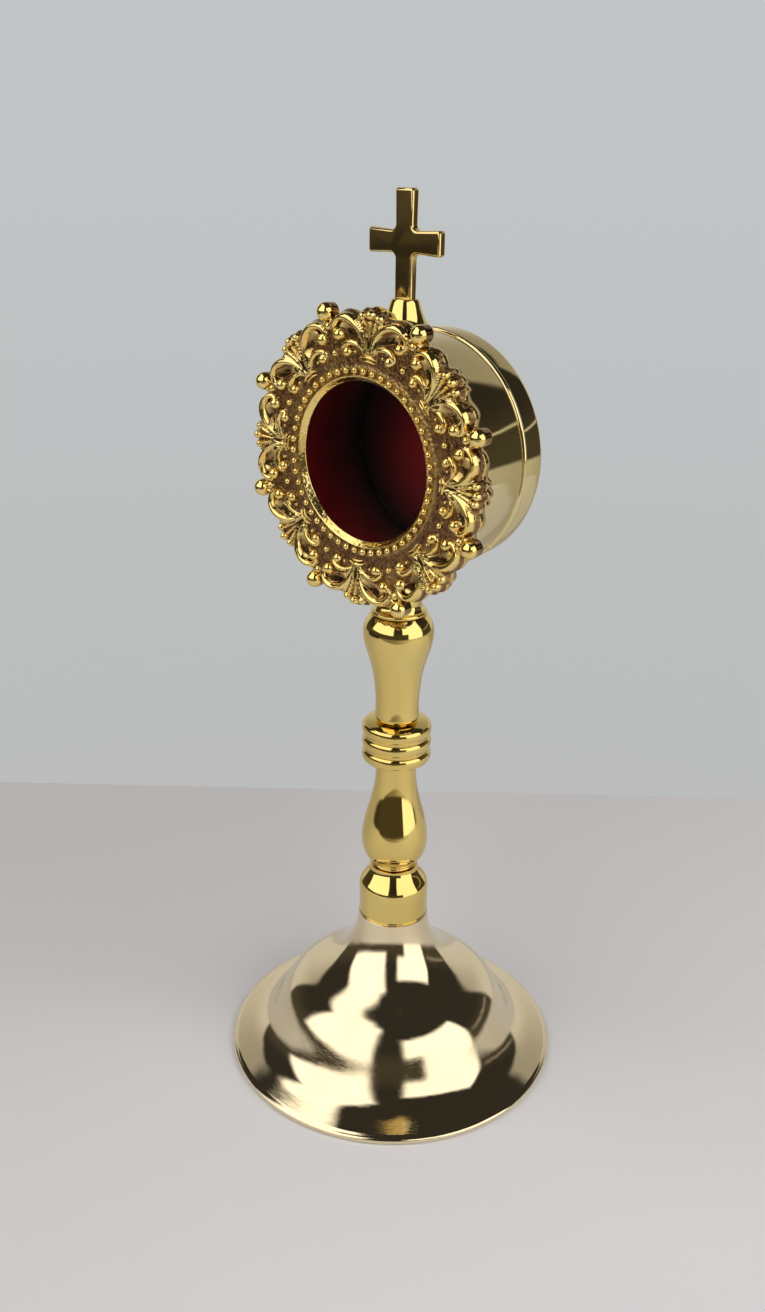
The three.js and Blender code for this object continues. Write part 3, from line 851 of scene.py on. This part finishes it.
def cross():
    low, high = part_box("cross")
    half = (high.y - low.y) / 2 + 0.3 * MM
    outline = cross_outline(high.z / MM, (high.x - low.x) / 2 / MM, span("finial_socket", Z)[1])
    bm = bmesh.new()
    face = bm.faces.new([bm.verts.new((x * MM, -half, z * MM)) for x, z in outline])
    extruded = bmesh.ops.extrude_face_region(bm, geom=[face])
    moved = [g for g in extruded["geom"] if isinstance(g, bmesh.types.BMVert)]
    bmesh.ops.translate(bm, verts=moved, vec=(0, 2 * half, 0))
    bmesh.ops.recalc_face_normals(bm, faces=bm.faces)
    border = [e for e in bm.edges if abs(e.verts[0].co.y - e.verts[1].co.y) < 1e-7]
    bmesh.ops.bevel(bm, geom=border, offset=0.6 * MM, segments=6, profile=0.5, affect="EDGES",
                    clamp_overlap=True)
    mesh = bpy.data.meshes.new("cross_plate")
    bm.to_mesh(mesh)
    bm.free()
    mesh.shade_smooth()
    mesh.set_sharp_from_angle(angle=math.radians(35))
    return new_object("cross_plate", mesh)


stand_for(cross(), "cross", "stand", "stem_brass", CROSS_BRASS)


# ---- Camera -------------------------------------------------------------------------------

CAMERA_AZIMUTH = 0.6969              # radians to the right of the window's own direction
CAMERA_DISTANCE = 0.29826            # metres, level, from the stem's axis
CAMERA_HEIGHT = 0.240
CAMERA_PITCH = 0.3901
CAMERA_YAW = -0.0133
CAMERA_ROLL = 0.015
FOCAL_IN_HEIGHTS = 0.966463          # focal length over the height of the frame


def towards_camera(right, front, up=0.0):
    """A point in the studio: right and front are as the camera sees them, from the object's axis."""
    a = CAMERA_AZIMUTH
    return Vector((right * math.cos(a) + front * math.sin(a),
                   right * math.sin(a) - front * math.cos(a), up))


def make_camera():
    data = bpy.data.cameras.new("camera")
    data.sensor_width = 36
    data.lens = FOCAL_IN_HEIGHTS * data.sensor_width
    data.clip_start = 0.01
    camera = new_object("camera", data)
    turn = (Matrix.Rotation(CAMERA_AZIMUTH - CAMERA_YAW, 4, "Z")
            @ Matrix.Rotation(math.pi / 2 - CAMERA_PITCH, 4, "X")
            @ Matrix.Rotation(CAMERA_ROLL, 4, "Z"))
    place = towards_camera(0, CAMERA_DISTANCE, CAMERA_HEIGHT)
    camera.matrix_world = Matrix.Translation(place) @ turn
    bpy.context.scene.camera = camera


make_camera()


# ---- Studio -------------------------------------------------------------------------------

ALL_ROUND = (-400, 400)
LIGHT = (1.5, 1.47, 1.42)
WINDOWS = ((-94, -17, 8, 67), (-125, -35, 50, 72), (13, 82, 14, 46), (32, 82, -8, 15))


def around(azimuth, elevation, distance):
    """A place round the object: azimuth in degrees to the right of the camera's direction."""
    flat = towards_camera(math.sin(math.radians(azimuth)), math.cos(math.radians(azimuth)))
    rise = Vector((0, 0, math.sin(math.radians(elevation))))
    return (flat * math.cos(math.radians(elevation)) + rise) * distance


def table():
    s = Shader("tabletop")
    s.put(Roughness=0.6)
    # Painted light: the top is coloured lighter towards the camera and darker towards the back; the noise
    # adds faint random tone.
    nearness = s.dot(s.place, towards_camera(0.3, 1))
    painted_falloff_and_tone = s.math("ADD", nearness, s.ramp(s.noise(7, 3), 0.3, 0.7, -0.01, 0.01))
    s.drive("Base Color", s.blend(s.ramp(painted_falloff_and_tone, -0.14, 0.1), (0.67, 0.66, 0.675), (0.84, 0.83, 0.855)))
    side, back, front, level = 0.5, -0.146, 0.3, -0.0002
    corners = [towards_camera(x, y, level)
               for x, y in ((-side, back), (side, back), (side, front), (-side, front))]
    floor = mesh_object("table", corners, [(3, 2, 1, 0)], smooth=False)
    floor.data.materials.append(s.material)


def fill_light():
    """A large soft light, which isn't mirrored in the brass."""
    data = bpy.data.lights.new("fill", "AREA")
    data.shape = "RECTANGLE"
    data.size = 1.2
    data.size_y = 1.0
    data.energy = 5.9
    light = new_object("fill", data)
    light.location = around(48, 50, 1.3)
    light.rotation_euler = (Vector((0, 0, 0.05)) - light.location).to_track_quat("-Z", "Y").to_euler()
    light.visible_camera = False
    light.visible_glossy = False


def room():
    """The world: a pale wall for the camera; for reflections a pale wall behind, a dark room in
    front and a light floor below. Its patches are given in degrees round the object and up."""
    world = bpy.data.worlds.new("room")
    bpy.context.scene.world = world
    world.use_nodes = True
    nodes = Nodes(world.node_tree)
    direction = nodes.add("ShaderNodeTexCoord").outputs["Generated"]

    def step(value, low, high):
        return nodes.ramp(value, low, high, interpolation_type="SMOOTHSTEP")

    up = nodes.dot(direction, (0, 0, 1))
    azimuth = nodes.math("ARCTAN2", nodes.dot(direction, towards_camera(1, 0)),
                         nodes.dot(direction, towards_camera(0, 1)))
    elevation = nodes.math("ARCSINE", up)

    def band(value, low, high, soft):
        low, high, soft = math.radians(low), math.radians(high), math.radians(soft)
        return nodes.math("MULTIPLY", step(value, low - soft, low + soft),
                          step(value, high + soft, high - soft))

    def patch(seen, left, right, low, high, colour, soft=1.2):
        area = nodes.math("MULTIPLY", band(azimuth, left, right, soft), band(elevation, low, high, soft))
        return nodes.blend(area, seen, colour)

    wall = nodes.blend(step(elevation, math.radians(5), math.radians(40)), (0.62, 0.6, 0.56),
                       (0.36, 0.34, 0.3))
    floor = nodes.blend(step(azimuth, -0.3, 0.9), (0.27, 0.24, 0.19), (0.72, 0.68, 0.57))
    floor = nodes.blend(step(azimuth, 1.2, 2.2), floor, (0.4, 0.375, 0.32))
    floor = nodes.blend(step(azimuth, -0.7, -1.9), floor, (0.46, 0.43, 0.37))
    seen = nodes.blend(step(up, 0.0, 0.5), (0.07, 0.06, 0.043), (0.032, 0.029, 0.025))
    seen = patch(seen, ALL_ROUND[0], -130, -95, 44, wall, 2)
    seen = patch(seen, 127, ALL_ROUND[1], -95, 44, wall, 2)
    seen = patch(seen, 88, 124, 9.9, 11.0, (0.8, 0.76, 0.66), 0.4)
    for window in WINDOWS:
        seen = patch(seen, *window, LIGHT)
    seen = patch(seen, *ALL_ROUND, -95, -9, floor)
    seen = patch(seen, -108, -62, -24, -5, (0.035, 0.03, 0.026), 3)
    backdrop = nodes.blend(step(up, -0.5, 0.1), (0.50, 0.505, 0.505), (0.53, 0.558, 0.565))
    path = nodes.add("ShaderNodeLightPath")
    colour = nodes.blend(path.outputs["Is Camera Ray"], seen, backdrop)
    nodes.link(colour, nodes.tree.nodes["Background"].inputs["Color"])


table()
fill_light()
room()
bpy.context.scene.view_settings.view_transform = "Standard"
